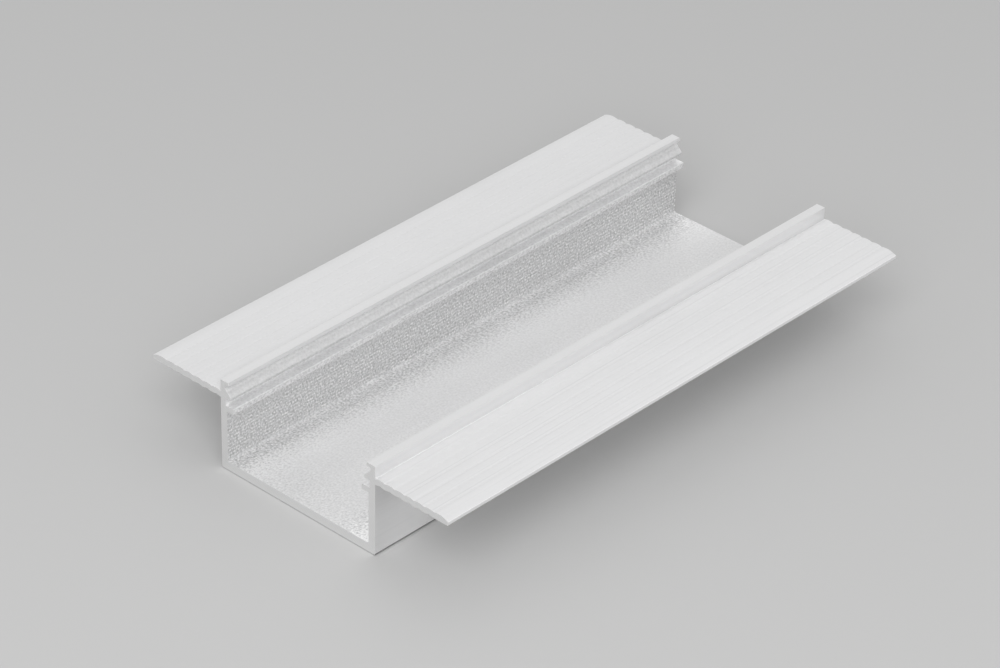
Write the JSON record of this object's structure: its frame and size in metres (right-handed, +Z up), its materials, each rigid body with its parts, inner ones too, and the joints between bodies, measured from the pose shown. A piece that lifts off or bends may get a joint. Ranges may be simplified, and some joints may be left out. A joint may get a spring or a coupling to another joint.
{
  "type": "aluminium extrusion profile",
  "caption": "Short cut length of extruded aluminium channel for recessed strip lighting, with keyed plaster-in flanges, upstanding lips and a slot for a cover.",
  "frame": {"origin": "middle of the channel's underside, at the height of the floor it lies on", "axes": "+X across the channel towards the right flange, +Y along the bar, +Z up out of the open side"},
  "size_m": [0.0914, 0.15, 0.0236],
  "materials": {
    "matt_aluminium": "pale matt mill and satin anodised finish, with fine die lines along the bar and a sawn end at each side"
  },
  "bodies": {
    "root": {"flanged_channel": "matt_aluminium"}
  },
  "joints": []
}
